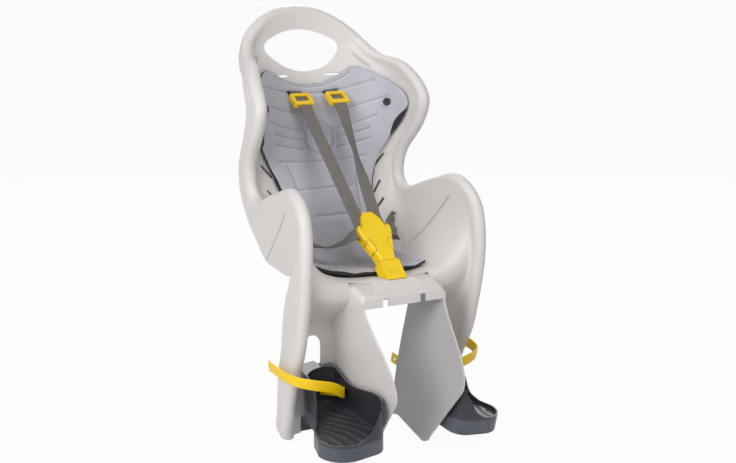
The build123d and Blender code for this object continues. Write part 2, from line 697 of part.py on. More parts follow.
# Lap straps, from the tongue's outer edge round the hip to the slot in the back
tongue_edge = tongue_middle + tongue_width / 2 + seat_gap
lap_height = (tongue_top + tongue_bottom) / 2
lap_depth = shell_wall + lap_stand + keeper_thickness
lap_path = [buckle_point(tongue_edge, lap_height, 0), buckle_point(tongue_edge + 8, lap_height, 0)]
lap_path += [(57, 24, 90), (74, 52, 81), (92, 84, 86), lap_point - lap_inward * 12]
lap_path += [lap_point, lap_point + lap_inward * (lap_depth + 4)]
lap_up = (lap_plane.y_dir.X, lap_plane.y_dir.Y, lap_plane.y_dir.Z)
buckle_across = (buckle_up.X, buckle_up.Y, buckle_up.Z)
lap_across = [buckle_across, buckle_across, (0, 0.5, 0.86), (0, 0.2, 1), (0, 0, 1), lap_up, lap_up, lap_up]
both_sides("lap_strap", ribbon(lap_path, lap_across, webbing_width, webbing_thickness))

# Footrest frame: x out from the shield, y back from the column's front, z up along the column
foot_origin = (lip_half_width + lean * foot_height, *column_at(foot_height))
foot_plane = Plane(origin=foot_origin, x_dir=(1, 0, -lean), z_dir=(lean, -column_slope, 1))

# Footrest: plan of the shoe, notched round the column
heel_front = -(column_bow + foot_clearance)
heel_inner = column_width + 2 * foot_clearance + 2
toe_turn = foot_toe * (1 - math.sqrt(0.5))
toe_start = (foot_inner, foot_front + foot_toe)
toe_end = (foot_inner + foot_toe, foot_front)
ball_start = (foot_outer - 50, foot_front)
ball_end = (foot_outer, foot_front + 50)
waist_start = (foot_outer - 12, -104)
waist_end = (foot_heel_outer + 6, -28)
heel_corner = (heel_inner, foot_heel)
plan = Polyline((foot_inner, heel_front), toe_start)
plan += ThreePointArc(toe_start, (foot_inner + toe_turn, foot_front + toe_turn), toe_end)
plan += Polyline(toe_end, ball_start)
plan += ThreePointArc(ball_start, (foot_outer - 14, foot_front + 15), ball_end)
plan += Polyline(ball_end, waist_start)
plan += ThreePointArc(waist_start, (foot_outer - 36, -68), waist_end)
plan += Polyline(waist_end, (foot_heel_outer, 0), (foot_heel_outer, foot_heel), heel_corner)
plan += Polyline(heel_corner, (heel_inner, heel_front - column_flare), (foot_inner, heel_front))
plan = make_face(plan.edges())

# Room for the shoe, round at the heel, and the hollow behind the heel cup, open below
room = offset(plan, -foot_wall)
cup_place = Pos((foot_inner + foot_heel_outer) / 2, -heel_cup - 10)
cup = cup_place * Circle(heel_cup) + cup_place * Pos(0, -100) * Rectangle(400, 200)
shoe_room = room & cup
heel_hollow = room - offset(cup, foot_wall)
footrest = Pos(0, 0, -foot_apron) * extrude(plan, foot_apron + foot_top)
footrest = footrest - extrude(shoe_room, foot_top) - Pos(0, 0, -foot_wall) * extrude(shoe_room, -foot_apron)
footrest = footrest - Pos(0, 0, -foot_apron) * extrude(heel_hollow, foot_apron + foot_top - foot_wall)

# Rims: the inner wall stands high and falls round the toe, the outer one rises from a low lip to the heel
rim_plane = Plane(origin=(0, 0, 0), x_dir=(0, 1, 0), z_dir=(1, 0, 0))
rim_start = -112
rim_over = foot_top + 20
toe_low = (foot_front - 1, 46)
inner_end = (-8, foot_top)
inner_rim = Spline(toe_low, (foot_front + 18, 64), (-122, 62), (-58, 55), (-38, 62), inner_end)
inner_waste = inner_rim + Polyline(inner_end, (inner_end[0], rim_over), (toe_low[0], rim_over), toe_low)
outer_low = (rim_start, foot_lip)
outer_end = (-20, foot_top)
outer_rim = Spline(outer_low, (-93, 19), (-80, 47), (-55, 62), outer_end)
outer_waste = outer_rim + Polyline(outer_end, (outer_end[0], rim_over), (rim_start, rim_over), outer_low)
wall_side = foot_inner + foot_wall + 8
toe_plane = Plane(origin=(0, rim_start, 0), x_dir=(1, 0, 0), z_dir=(0, -1, 0))
toe_high = (wall_side, 52)
toe_flat = (wall_side + 60, foot_lip)
past_toe = foot_outer + 5
toe_rim = Spline(toe_high, (wall_side + 11, 38), (wall_side + 25, 18), (wall_side + 43, 8), toe_flat)
toe_waste = toe_rim + Polyline(
    toe_flat, (past_toe, foot_lip), (past_toe, rim_over), (wall_side, rim_over), toe_high
)
footrest = footrest - extrude(rim_plane * make_face(inner_waste.edges()), wall_side)
footrest = footrest - Pos(wall_side, 0, 0) * extrude(rim_plane * make_face(outer_waste.edges()), 200)
footrest = footrest - extrude(toe_plane * make_face(toe_waste.edges()), rim_start - foot_front + 1)

# Clip behind the column, and the slot of the strap's tail
clip_front = shell_wall + foot_clearance
clip = Pos((foot_inner + 4 + heel_inner + 1) / 2, clip_front + foot_wall / 2, foot_top / 2)
footrest = footrest + clip * Box(heel_inner + 1 - foot_inner - 4, foot_wall, foot_top)
tail_x = heel_inner + foot_wall + 6
tail_slot = Box(foot_strap_thickness + 2 * foot_strap_clearance, 4 * foot_wall, foot_strap_width + 2)
footrest = footrest - Pos(tail_x, foot_heel, 22) * tail_slot
cup_slot = Box(3 * foot_strap_thickness, 8 * foot_wall, foot_strap_width + 4)
footrest = footrest - Pos(32, -12, 24.5) * Rot(0, 0, -34) * cup_slot
both_sides("footrest", foot_plane * footrest)

# Foot strap: from its tail behind the heel, along the inner wall and across the foot to the outside
foot_path = [(tail_x, 80, 21), (tail_x, 45, 21), (tail_x, foot_heel, 22), (tail_x - 4, -2, 23)]
foot_path += [(24, -24, 26), (17.5, -44, 31), (20, -62, 37), (32, -76, 46), (59, -86, 66)]
foot_path += [(93, -86, 80), (116, -72, 86), (125, -44, 87), (126, -15, 87), (124, 15, 86)]
foot_strap = ribbon(foot_path, [(0, 0, 1)] * len(foot_path), foot_strap_width, foot_strap_thickness)
both_sides("foot_strap", foot_plane * foot_strap)

# Leg ties: flat plates behind the column and the leg strip
tie_plane = Plane(origin=(lip_half_width, *column_at(0)), x_dir=(1, 0, 0), z_dir=(0, 1, column_slope))
tie_x = (6, column_width + leg_opening_width + 12)
tie_stand = shell_wall + seat_gap
tie_lean = lean * (tie_top + tie_bottom) / 2
tie = Pos((tie_x[0] + tie_x[1]) / 2 + tie_lean, -(tie_top + tie_bottom) / 2, tie_stand + tie_thickness / 2)
tie = tie * Box(tie_x[1] - tie_x[0], tie_top - tie_bottom, tie_thickness)
both_sides("leg_tie", tie_plane * tie)
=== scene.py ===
import math

import bmesh
import bpy
import numpy as np
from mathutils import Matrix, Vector


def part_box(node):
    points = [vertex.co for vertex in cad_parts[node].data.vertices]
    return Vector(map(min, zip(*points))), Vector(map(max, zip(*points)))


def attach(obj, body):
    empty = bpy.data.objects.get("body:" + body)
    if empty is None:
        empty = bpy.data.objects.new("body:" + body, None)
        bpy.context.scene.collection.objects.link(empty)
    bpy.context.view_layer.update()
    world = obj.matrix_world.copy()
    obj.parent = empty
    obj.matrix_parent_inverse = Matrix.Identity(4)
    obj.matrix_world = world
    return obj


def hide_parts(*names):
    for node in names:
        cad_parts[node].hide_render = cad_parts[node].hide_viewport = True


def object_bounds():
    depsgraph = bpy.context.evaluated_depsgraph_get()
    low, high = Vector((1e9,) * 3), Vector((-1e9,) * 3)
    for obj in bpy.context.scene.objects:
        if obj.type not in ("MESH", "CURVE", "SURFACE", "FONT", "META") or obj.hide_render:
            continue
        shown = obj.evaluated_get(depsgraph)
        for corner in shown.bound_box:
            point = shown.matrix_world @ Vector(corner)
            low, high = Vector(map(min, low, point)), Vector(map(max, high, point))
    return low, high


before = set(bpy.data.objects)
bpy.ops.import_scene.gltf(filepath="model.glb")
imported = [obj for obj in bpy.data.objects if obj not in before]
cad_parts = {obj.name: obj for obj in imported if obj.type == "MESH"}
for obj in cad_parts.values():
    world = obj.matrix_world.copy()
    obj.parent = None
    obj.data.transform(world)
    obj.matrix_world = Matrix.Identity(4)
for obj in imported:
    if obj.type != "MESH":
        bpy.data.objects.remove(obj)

cad_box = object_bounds()
scene = bpy.context.scene
scene.view_settings.view_transform = "Standard"


# Studio: a pale floor that keeps the seat's shadow, a white room, three soft lamps, and the camera,
# which stands to the child's right, a little above the seat, with a long lens.
class Wire:
    """Socket of a finish that can be used in sums and products, which add their own nodes."""

    def __init__(self, tree, socket=None):
        self.tree = tree
        self.socket = socket

    def node(self, kind, settings=(), inputs=(), out=0):
        """Any node, by its type: its settings first, then the values or links of its sockets."""
        made = self.tree.nodes.new("ShaderNode" + kind)
        for name, value in dict(settings).items():
            setattr(made, name, value)
        for key, value in dict(inputs).items():
            if isinstance(value, Wire):
                self.tree.links.new(value.socket, made.inputs[key])
            else:
                made.inputs[key].default_value = value
        return Wire(self.tree, made.outputs[out]) if made.outputs else None

    def math(self, operation, *values):
        return self.node("Math", {"operation": operation}, enumerate(values))

    def __add__(self, other):
        return self.math("ADD", self, other)

    def __sub__(self, other):
        return self.math("SUBTRACT", self, other)

    def __mul__(self, other):
        return self.math("MULTIPLY", self, other)

    def __rsub__(self, other):
        return self.math("SUBTRACT", other, self)

    __radd__ = __add__
    __rmul__ = __mul__

    def __abs__(self):
        return self.math("ABSOLUTE", self)

    def sine(self):
        return self.math("SINE", self)

    def root(self):
        return self.math("SQRT", self)

    def either(self, other):
        return self.math("MAXIMUM", self, other)

    def between(self, low, high):
        """Runs from 0 to 1 as the value goes from low to high."""
        settings = {"interpolation_type": "SMOOTHSTEP"}
        return self.node("MapRange", settings, {"Value": self, "From Min": low, "From Max": high})

    def mix(self, first, second):
        """From the first colour to the second as the value goes from 0 to 1."""
        return self.node("Mix", {"data_type": "RGBA"}, {0: self, 6: first, 7: second}, out=2)

    def place(self):
        """The three coordinates of a point of the piece."""
        return self.node("TexCoord", out="Object").axes()

    def noise(self, scale, detail=2.0):
        """Noise over the piece, with so many grains to the metre."""
        place = self.node("TexCoord", out="Object")
        return self.node("TexNoise", (), {"Vector": place, "Scale": scale, "Detail": detail})

    def axes(self):
        """The three parts of a vector."""
        split = self.node("SeparateXYZ", (), {0: self})
        return [Wire(self.tree, s) for s in split.socket.node.outputs]

    def bump(self, height, depth, strength):
        return self.node("Bump", (), {"Height": height, "Distance": depth, "Strength": strength})


def rgb(red, green, blue):
    """Colour of a finish from its 0 to 255 values, as read off a print."""
    parts = [c / 255 for c in (red, green, blue)]
    return (*[c / 12.92 if c < 0.04045 else ((c + 0.055) / 1.055) ** 2.4 for c in parts], 1.0)


def seen(room):
    """1 for the light that reaches the camera straight, by a reflection or through a piece."""
    kinds = ("Camera", "Glossy", "Transmission")
    rays = [room.node("LightPath", out=f"Is {kind} Ray") for kind in kinds]
    return rays[0] + rays[1] + rays[2]


white = (1.0, 1.0, 1.0, 1.0)
floor_drop = 0.003
floor_reach = 30.0
floor_grey = 0.88
floor_shadow = 0.05
floor_level = cad_box[0].z - floor_drop
floor_corners = [(-1, -1), (1, -1), (1, 1), (-1, 1)]
floor_points = [(x * floor_reach, y * floor_reach, floor_level) for x, y in floor_corners]
floor_mesh = bpy.data.meshes.new("floor")
floor_mesh.from_pydata(floor_points, [], [range(len(floor_points))])
floor = bpy.data.objects.new("floor", floor_mesh)
scene.collection.objects.link(floor)
floor_paint = bpy.data.materials.new("floor_paint")
floor_paint.use_nodes = True
floor_paint.node_tree.nodes.clear()
room = Wire(floor_paint.node_tree)
lit = room.node("BsdfDiffuse", (), {"Color": (floor_grey, floor_grey, floor_grey, 1.0)})
glow = room.node("Emission", (), {"Color": white, "Strength": 1.0})
shown = room.node("MixShader", (), {0: seen(room) * (1 - floor_shadow), 1: lit, 2: glow})
room.node("OutputMaterial", (), {"Surface": shown})
floor_mesh.materials.append(floor_paint)

room_light = 0.23
world = bpy.data.worlds.new("studio")
world.use_nodes = True
world.node_tree.nodes.clear()
scene.world = world
room = Wire(world.node_tree)
ambient = room.node("Background", (), {"Color": white, "Strength": room_light})
backdrop = room.node("Background", (), {"Color": white, "Strength": 1.0})
shown = room.node("MixShader", (), {0: seen(room), 1: ambient, 2: backdrop})
room.node("OutputWorld", (), {"Surface": shown})

lamp_target = Vector((0.0, 0.05, 0.1))
for lamp_name, lamp_place, lamp_width, lamp_power in (
    ("side_lamp", (-2.35, -1.15, 1.25), 1.4, 41.0),
    ("top_lamp", (-0.3, -1.9, 2.3), 1.6, 28.0),
    ("back_lamp", (1.3, 2.3, 1.4), 1.6, 30.0),
):
    lamp = bpy.data.lights.new(lamp_name, "AREA")
    lamp.size = lamp_width
    lamp.energy = lamp_power
    lamp_object = bpy.data.objects.new(lamp_name, lamp)
    lamp_object.location = lamp_place
    lamp_object.rotation_euler = (lamp_target - Vector(lamp_place)).to_track_quat("-Z", "Y").to_euler()
    scene.collection.objects.link(lamp_object)

camera_place = (-1.4141, -2.1577, 0.5883)
camera_turn = math.radians(-33.0)
camera_rise = math.radians(10.5)
camera_data = bpy.data.cameras.new("camera")
camera_data.sensor_width = 36.0
camera_data.lens = 72.78
camera = bpy.data.objects.new("camera", camera_data)
camera.location = camera_place
camera.rotation_euler = (math.pi / 2 - camera_rise, 0.0, camera_turn)
scene.collection.objects.link(camera)
scene.camera = camera


# Seat shell: one moulding of pale warm-grey plastic with rolled rims and a fine matt grain from the tool.
# The wheel shields, the lip and the carrier block are part of it. Each arm has a pressed crease, and each
# side of the handle a short groove, both painted darker as shade. The shields' inner faces are painted
# a neutral grey as the shade between the shields, and are a little smoother.
def finish(name, lay):
    """Material whose surface values are laid by a function of its first wire."""
    material = bpy.data.materials.new(name)
    material.use_nodes = True
    surface = Wire(material.node_tree)
    shader = material.node_tree.nodes["Principled BSDF"]
    for socket, value in lay(surface).items():
        if isinstance(value, Wire):
            material.node_tree.links.new(value.socket, shader.inputs[socket])
        else:
            shader.inputs[socket].default_value = value
    return material


def dress(node, material):
    """Give a solid of the frame its finish."""
    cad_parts[node].material_slots[0].material = material


def stroke(u, v, start, end, half):
    """1 along a line between two places, falling to 0 at half a width from it and at its ends."""
    run = (end[0] - start[0], end[1] - start[1])
    length = math.hypot(*run)
    along = (u - start[0]) * (run[0] / length) + (v - start[1]) * (run[1] / length)
    aside = (u - start[0]) * (run[1] / length) - (v - start[1]) * (run[0] / length)
    ends = along.between(0, 2 * half) * (1 - along.between(length - 2 * half, length))
    return (1 - abs(aside).between(0, half)) * ends


arm_crease = ((0.107, 0.029), (-0.006, 0.162))
arm_crease_half = 0.0028
arm_inside = (0.125, 0.129)
handle_groove = ((0.100, 0.412), (0.125, 0.378))
handle_groove_half = 0.0055
pressed_depth = 0.0020
shield_place = 0.084
shield_lean = 0.0998
# Where the painted shade of the shields' inner faces starts: in from the shield's middle, down from the
# lip, and ahead of the columns
inner_shade_inset = (0.0010, 0.0016)
inner_shade_top = (-0.008, -0.003)
inner_shade_back = (0.03, 0.04)
shell_grain = 1300.0
handling_marks = (70.0, 6.0)
shell_pale = rgb(228, 223, 221)
shell_cloud = rgb(223, 218, 216)
shell_rubbed = rgb(216, 210, 207)
pressed_line_shade = rgb(168, 160, 153)
inner_face_shade_grey = rgb(190, 188, 191)


def shell_plastic(surface):
    """Pale plastic: faint clouding, fine grain, rubbed marks, painted shade in the pressed lines and on the
    shields' inner faces.
    """
    x, y, z = surface.place()
    out = abs(x)
    crease = stroke(y, z, *arm_crease, arm_crease_half) * out.between(*arm_inside)
    groove = stroke(out, z, *handle_groove, handle_groove_half)
    pressed = crease.either(groove)
    between_shields = (shield_place + z * shield_lean - out).between(*inner_shade_inset)
    # Painted shade on the shields' inner faces, where they face each other
    inner_face_shade = between_shields * (1 - z.between(*inner_shade_top)) * (1 - y.between(*inner_shade_back))
    grains = surface.noise(shell_grain)
    marks = surface.noise(*handling_marks).between(0.5, 0.75)
    colour = surface.noise(9.0, 3.0).between(0.25, 0.75).mix(shell_cloud, shell_pale)
    colour = (marks * 0.35).mix(colour, shell_rubbed)
    colour = inner_face_shade.mix(colour, inner_face_shade_grey)
    # The pressed lines are painted darker, as the shade that falls in them
    return {
        "Base Color": (pressed * 0.55).mix(colour, pressed_line_shade),
        "Roughness": 0.46 + (grains - 0.5) * 0.12 + marks * 0.08 - inner_face_shade * 0.08,
        "Normal": surface.bump(grains * 0.12 - pressed, pressed_depth, 0.8),
        "Specular IOR Level": 0.4,
    }


dress("seat_shell", finish("shell_plastic", shell_plastic))


# Slit pockets: the slits beside the pad go only part of the way through the shell's wall. Their floors are
# the same plastic, painted dark brown-grey as the shade deep in the slit, and dished along the slit.
def new_piece(name, mesh, material, body, slot, *nodes):
    """A piece of the scene that stands for some solids of the frame and rides on a body."""
    piece = bpy.data.objects.new(name, mesh)
    scene.collection.objects.link(piece)
    mesh.materials.clear()
    mesh.materials.append(material)
    for polygon in mesh.polygons:
        polygon.use_smooth = True
    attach(piece, body)
    if nodes:
        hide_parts(*nodes)
    return piece


def mirrored(points, hand):
    """Points of the child's left side, or their mirror image for the right."""
    return [(x * hand, y, z) for x, y, z in points]


hands = {"left": 1, "right": -1}
slit_half = 0.0026
slit_reach = 0.51
slit_floor = 0.0024
slit_dish = 0.0009
slit_steps = 9
# Middle of each slit on the shell's skin, the way through the wall, and the slit's run
slits = [
    ((0.1210, 0.1727, 0.2070), (0.1589, 0.9646, -0.2105), (0.0287, 0.0016, 0.0290)),
    ((0.1125, 0.1618, 0.1610), (0.0931, 0.9060, -0.4129), (0.0191, 0.0078, 0.0214)),
    ((0.1085, 0.1484, 0.1280), (0.1944, 0.8304, -0.5222), (0.0257, 0.0079, 0.0222)),
]


def slit_floor_shade(surface):
    """Plastic painted dark brown-grey as the shade deep in the slit, mottled over the dish."""
    mottle = surface.noise(420.0, 4.0)
    return {
        "Base Color": mottle.between(0.3, 0.7).mix(rgb(84, 74, 68), rgb(112, 101, 93)),
        "Roughness": 0.7 + (mottle - 0.5) * 0.2,
        "Normal": surface.bump(mottle, 0.0004, 0.6),
    }


def slit_floors(hand):
    """Dished floors of the slits of one side, in the thickness of the wall."""
    points = []
    faces = []
    for slit in slits:
        middle, inward, run = (np.array(v) for v in mirrored(slit, hand))
        across = np.cross(inward, run / np.linalg.norm(run)) * slit_half
        first = len(points)
        for share in np.linspace(-1, 1, slit_steps):
            for side in (-1, 0, 1):
                sunk = slit_floor + slit_dish * (1 - share**2) * (1 - side**2)
                points.append((middle + run * share * slit_reach + across * side + inward * sunk).tolist())
        for step in range(slit_steps - 1):
            for side in (0, 1):
                corner = first + step * 3 + side
                faces.append((corner, corner + 1, corner + 4, corner + 3))
    mesh = bpy.data.meshes.new("slit_floors")
    mesh.from_pydata(points, [], faces)
    return mesh


slit_shade_plastic = finish("slit_floor_shade", slit_floor_shade)
for side, hand in hands.items():
    new_piece(f"slit_pockets_{side}", slit_floors(hand), slit_shade_plastic, "seat", "shell")


# Seat pad: soft foam faced with lavender-grey jersey, welded along channels and a ring that stay low, with
# a black backing that shows at its edges, where the black is also painted shade for the gap between pad
# and shell. It lies loose in the tub, held at its wings by two snaps.
def loose(name, mesh):
    """A mesh as an object to work on."""
    piece = bpy.data.objects.new(name, mesh)
    scene.collection.objects.link(piece)
    return piece


def settled(piece):
    """The piece's mesh with its modifiers worked in. The piece itself goes."""
    graph = bpy.context.evaluated_depsgraph_get()
    mesh = bpy.data.meshes.new_from_object(piece.evaluated_get(graph))
    bpy.data.objects.remove(piece)
    return mesh


def spots(mesh):
    """Places and normals of a mesh's points."""
    places = np.empty(len(mesh.vertices) * 3, np.float32)
    mesh.vertices.foreach_get("co", places)
    normals = np.empty(len(mesh.vertices) * 3, np.float32)
    mesh.vertex_normals.foreach_get("vector", normals)
    return places.reshape(-1, 3).astype(float), normals.reshape(-1, 3).astype(float)


def move_to(mesh, places):
    """Put a mesh's points at these places."""
    mesh.vertices.foreach_set("co", places.astype(np.float32).ravel())
    mesh.update()


pad_voxel = 0.0040
pad_draw_in = 0.0012
pad_swell = 0.0030
pad_pressure = 4.0
pad_frames = 20
pad_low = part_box("seat_pad")[0]
held_facing = 0.2
held_low = 0.05
facing_gain = 4
child_waist = 0.16
channel_depth = 0.0031
channel_half = 0.0026
channel_curve = 1.4
dimple_half = 0.0055
roll_half = 0.0054
# Channels across the pad: height in the middle, rise to the sides, and where each starts and ends
pad_channels = [
    (0.338, 1.5, 0.000, 0.117),
    (0.302, 1.6, 0.045, 0.131),
    (0.270, 1.9, 0.034, 0.113),
    (0.2535, 1.7, 0.036, 0.101),
    (0.237, 1.5, 0.036, 0.099),
    (0.2155, 0.6, 0.000, 0.092),
    (0.168, 0.0, 0.000, 0.058),
    (0.119, 0.0, 0.000, 0.032),
]
ring_height = 0.257
ring_squash = 1.07
ring_rows = (0.031, 0.027, 0.019)
ring_turn = 0.01
hem_centre = 0.495
hem_radius = 0.1455
hem_reach = 0.082
seam_top = 0.214
seam_bottom = 0.118
seam_place = 0.080
seam_draw = 0.016
seam_bend = 0.045


def channel_gaps(x, z):
    """For each channel, how far the points are above its line, past its ends and from its outer end."""
    for height, lift, start, end in pad_channels:
        above = (z - height - lift * x * x) / np.sqrt(1 + (2 * lift * x) ** 2)
        yield above, np.maximum(np.maximum(start - x, x - end), 0), x - end


def pad_lows(places):
    """How deep each point lies in a channel, seam, ring or dimple of the pad, from 0 to 1."""
    x = np.abs(places[:, 0])
    z = places[:, 2]
    lows = np.zeros(len(places))
    for above, past, from_end in channel_gaps(x, z):
        lows = np.maximum(lows, 1 - np.hypot(above, past) / channel_half)
        lows = np.maximum(lows, 1 - np.hypot(above, from_end) / dimple_half)
    ring = np.hypot(x, (z - ring_height) * ring_squash)
    for row in ring_rows:
        lows = np.maximum(lows, 1 - np.abs(ring - row) / channel_half)
    hem = 1 - np.abs(np.hypot(x, z - hem_centre) - hem_radius) / channel_half
    lows = np.maximum(lows, np.where(x < hem_reach, hem, 0))
    fall = np.clip((seam_top - z) / seam_bend, 0, 1)
    seam = 1 - np.abs(x - seam_place + seam_draw * fall * (2 - fall)) / channel_half
    lows = np.maximum(lows, np.where((z < seam_top) & (z > seam_bottom), seam, 0))
    return np.clip(lows, 0, 1)


def rolled(gap, aside):
    """From -1 to 1 across a channel, fading out with the distance aside."""
    return np.clip(1 - aside / roll_half, 0, 1) * np.clip(gap / channel_half, -1, 1)


def pad_tilt(places):
    """1 just above each channel, where the foam rolls into shade, and -1 below it, in the light."""
    x = np.abs(places[:, 0])
    z = places[:, 2]
    tilt = np.zeros(len(places))
    for above, past, _ in channel_gaps(x, z):
        tilt += rolled(above, np.hypot(above, past))
    from_hem = np.hypot(x, z - hem_centre) - hem_radius
    tilt -= rolled(from_hem, np.abs(from_hem)) * (x < hem_reach)
    ring = np.hypot(x, (z - ring_height) * ring_squash)
    upper = np.clip((z - ring_height) / ring_turn, -1, 1)
    for row in (ring_rows[0], ring_rows[-1]):
        tilt += rolled(ring - row, np.abs(ring - row)) * upper
    return np.clip(tilt, -1, 1)


def faces_child(places, normals):
    """How far each point of the pad looks towards the child, from -1 to 1."""
    child = np.zeros_like(places)
    child[:, 2] = np.maximum(places[:, 2], child_waist)
    child -= places
    child /= np.linalg.norm(child, axis=1, keepdims=True)
    return (child * normals).sum(1)


# The foam swells between its channels, which are held
rough_pad = loose("rough_pad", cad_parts["seat_pad"].data.copy())
remesh = rough_pad.modifiers.new("even_mesh", "REMESH")
remesh.mode = "VOXEL"
remesh.voxel_size = pad_voxel
pad_mesh = settled(rough_pad)
places, normals = spots(pad_mesh)
places -= normals * pad_draw_in
move_to(pad_mesh, places)
foam = loose("foam", pad_mesh)
held = foam.vertex_groups.new(name="held")
firm = (faces_child(places, normals) < held_facing) | (pad_lows(places) > held_low)
held.add(np.nonzero(firm)[0].tolist(), 1.0, "REPLACE")
cloth = foam.modifiers.new("swell", "CLOTH")
cloth.settings.vertex_group_mass = "held"
cloth.settings.use_pressure = True
cloth.settings.uniform_pressure_force = pad_pressure
cloth.settings.effector_weights.gravity = 0.0
for frame_number in range(1, pad_frames + 1):
    scene.frame_set(frame_number)
moved = spots(settled(foam))[0] - places
reach = np.linalg.norm(moved, axis=1, keepdims=True)
places += moved * np.minimum(1, pad_swell / np.maximum(reach, 1e-9))
move_to(pad_mesh, places)
scene.frame_set(1)
soft_pad = loose("soft_pad", pad_mesh)
ease = soft_pad.modifiers.new("ease", "SMOOTH")
ease.factor = 0.5
ease.iterations = 4
finer = soft_pad.modifiers.new("finer", "SUBSURF")
finer.levels = 1
finer.render_levels = 1
pad_mesh = settled(soft_pad)
places, normals = spots(pad_mesh)
looks = np.clip(faces_child(places, normals) * facing_gain, 0, 1)

# The pad closes over the straps above their slots
slot_place = (0.0385, 0.2043, 0.3410)
slot_close = 0.0062
slot_reach = 0.020
slot_plateau = 1.5
back_up = (0.336, 0.942)
up_pad = (places[:, 1] - slot_place[1]) * back_up[0] + (places[:, 2] - slot_place[2]) * back_up[1]
beside = np.abs(np.abs(places[:, 0]) - slot_place[0]) / slot_reach
closed = slot_close * np.clip(slot_plateau * (1 - beside), 0, 1) * (up_pad > 0)
closed *= np.clip(1 - up_pad / slot_reach, 0, 1)
places[:, 1] -= closed * back_up[0]
places[:, 2] -= closed * back_up[1]

# The channels are pressed in, and the front edge puckers, where nothing holds the pad down
pucker = 0.0022
pucker_reach = 0.035
pucker_top = 0.09
pucker_waves = (105, 43)
pucker_start = 0.8
lows = pad_lows(places)
places -= normals * (lows**channel_curve * looks * channel_depth)[:, None]
edge = np.clip((pad_low[1] + pucker_reach - places[:, 1]) / pucker_reach, 0, 1)
edge *= places[:, 2] < pucker_top
waves = np.sin(places[:, 0] * pucker_waves[0] + pucker_start) * np.cos(places[:, 0] * pucker_waves[1])
places[:, 2] += pucker * edge**2 * (1 + waves)
move_to(pad_mesh, places)

# The backing stands out past the foam in crescents: height, how far along the edge, and how wide
backing_crescents = [(0.283, 0.036, 0.013), (0.175, 0.050, 0.006)]
backing_blur = 0.002
slot_clear = (0.022, 0.016)
level_step = 0.004
level_blur = 3
levels = np.round((places[:, 2] - pad_low[2]) / level_step).astype(int)
widths = np.zeros(levels.max() + 1)
np.maximum.at(widths, levels, np.abs(places[:, 0]))
blur = np.full(2 * level_blur + 1, 1 / (2 * level_blur + 1))
widths = np.convolve(np.pad(widths, level_blur, "edge"), blur, "valid")
heights = pad_low[2] + np.arange(len(widths)) * level_step
inside = np.interp(places[:, 2], heights, widths) - np.abs(places[:, 0])
bare = np.zeros(len(places))
for height, spread, width in backing_crescents:
    wide = width * (1 - ((places[:, 2] - height) / spread) ** 2)
    bare = np.maximum(bare, np.clip((wide - inside) / backing_blur, 0, 1) * (wide > 0))
near_slot = np.abs(np.abs(places[:, 0]) - slot_place[0]) < slot_clear[0]
near_slot &= np.abs(places[:, 2] - slot_place[2]) < slot_clear[1]
# Black on the back and edges: the backing, and painted shade for the gap between pad and shell
backing_and_shade = np.where(near_slot, 0, np.maximum(1 - looks, bare))
shades = {"channel": lows * looks, "tilt": pad_tilt(places) * looks, "backing_and_shade": backing_and_shade}
for shade, values in shades.items():
    layer = pad_mesh.attributes.new(shade, "FLOAT", "POINT")
    layer.data.foreach_set("value", values.astype(np.float32))

knit_pitch = 5200.0
jersey_pale = rgb(195, 195, 205)
jersey_cloud = rgb(186, 186, 196)
jersey_fluff = rgb(206, 206, 215)
jersey_channel_shade = rgb(128, 128, 139)
jersey_shade = rgb(140, 140, 151)
jersey_highlight = rgb(224, 224, 231)
backing_black_and_shade = rgb(34, 34, 37)


def jersey_foam(surface):
    """Fine jersey over foam: close knit, soft clouding, painted shade and highlights at the channels, black
    back and edges that are partly painted shade.
    """
    x, y, z = surface.place()
    knit = (x * knit_pitch).sine() * ((z + y) * knit_pitch).sine()
    fluff = surface.noise(900.0, 3.0)
    channel, tilt, backing_and_shade = [surface.node("Attribute", {"attribute_name": s}, out="Fac") for s in shades]
    colour = surface.noise(26.0, 4.0).between(0.3, 0.7).mix(jersey_cloud, jersey_pale)
    colour = (fluff.between(0.35, 0.7) * 0.3).mix(colour, jersey_fluff)
    # Painted shade in the channels
    colour = (channel.between(0.15, 0.9) * 0.22).mix(colour, jersey_channel_shade)
    # Painted shade just above each channel and a painted highlight just below it
    colour = (tilt.between(0.1, 0.9) * 0.40).mix(colour, jersey_shade)
    colour = ((0 - tilt).between(0.1, 0.8) * 0.75).mix(colour, jersey_highlight)
    return {
        "Base Color": backing_and_shade.between(0.35, 0.6).mix(colour, backing_black_and_shade),
        "Roughness": 0.86 + (fluff - 0.5) * 0.16,
        "Normal": surface.bump(knit * 0.4 + fluff, 0.0005, 0.5),
        "Sheen Weight": 0.15,
    }


pad = new_piece("seat_pad_foam", pad_mesh, finish("jersey_foam", jersey_foam), "seat", "pad", "seat_pad")


# Snaps: black nylon studs that hold the pad's wings. The head, with a dish in its middle, lies on the pad,
# and its post is pressed through the pad and the tub's wall.
def moulded_plastic(light, dark, roughness, grain, depth):
    """Moulded plastic: clouded between two near colours, with a fine grain and faint handling marks."""

    def lay(surface):
        grains = surface.noise(grain)
        marks = surface.noise(*handling_marks).between(0.45, 0.72)
        return {
            "Base Color": surface.noise(30.0, 3.0).between(0.25, 0.75).mix(dark, light),
            "Roughness": roughness + (grains - 0.5) * 0.12 + marks * 0.06,
            "Normal": surface.bump(grains, depth, 0.5),
            "Specular IOR Level": 0.4,
        }

    return lay


snap_middle = (0.1264, 0.1515, 0.3209)
snap_dish = 0.0030
snap_ring = 0.0053
snap_line = 0.0006
snap_shade = rgb(16, 16, 18)
black_nylon = moulded_plastic(rgb(66, 66, 70), rgb(56, 56, 60), roughness=0.42, grain=1800.0, depth=0.0002)


